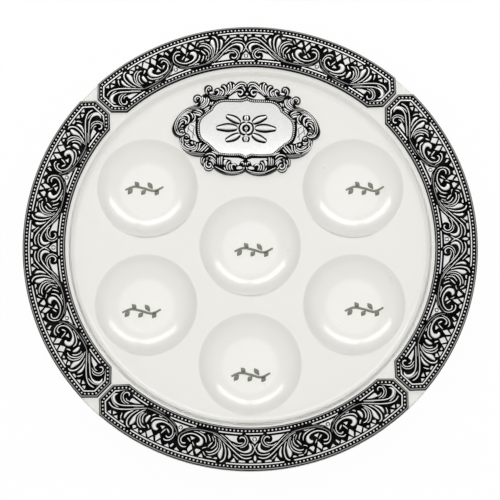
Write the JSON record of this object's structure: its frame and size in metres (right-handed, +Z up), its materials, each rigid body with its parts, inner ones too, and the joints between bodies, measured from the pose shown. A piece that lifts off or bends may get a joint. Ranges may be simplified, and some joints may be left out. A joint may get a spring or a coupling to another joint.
{
  "type": "seder plate",
  "caption": "Round glass seder plate with moulded wells, antiqued scrollwork plaques round its flat rim and a scalloped cartouche at the back.",
  "frame": {"origin": "middle of the plate, on the surface it stands on", "axes": "+Z up, +Y towards the back, where the cartouche sits"},
  "size_m": [0.4, 0.4, 0.0246],
  "materials": {
    "glass": "polished, pressed",
    "antique_silver": "silver plate, oxidised in the recesses and polished on the ridges",
    "foam_tape": "closed-cell foam"
  },
  "bodies": {
    "root": {"glass_plate": "glass", "rim_plaque_back": "antique_silver", "rim_plaque_left": "antique_silver", "rim_plaque_front": "antique_silver", "rim_plaque_right": "antique_silver", "cartouche_plaque": "antique_silver", "foam_strip_back_left": "foam_tape", "foam_strip_back_middle": "foam_tape", "foam_strip_back_right": "foam_tape", "foam_strip_left_left": "foam_tape", "foam_strip_left_middle": "foam_tape", "foam_strip_left_right": "foam_tape", "foam_strip_front_left": "foam_tape", "foam_strip_front_middle": "foam_tape", "foam_strip_front_right": "foam_tape", "foam_strip_right_left": "foam_tape", "foam_strip_right_middle": "foam_tape", "foam_strip_right_right": "foam_tape", "foam_strip_cartouche_upper": "foam_tape", "foam_strip_cartouche_lower": "foam_tape"}
  },
  "joints": []
}
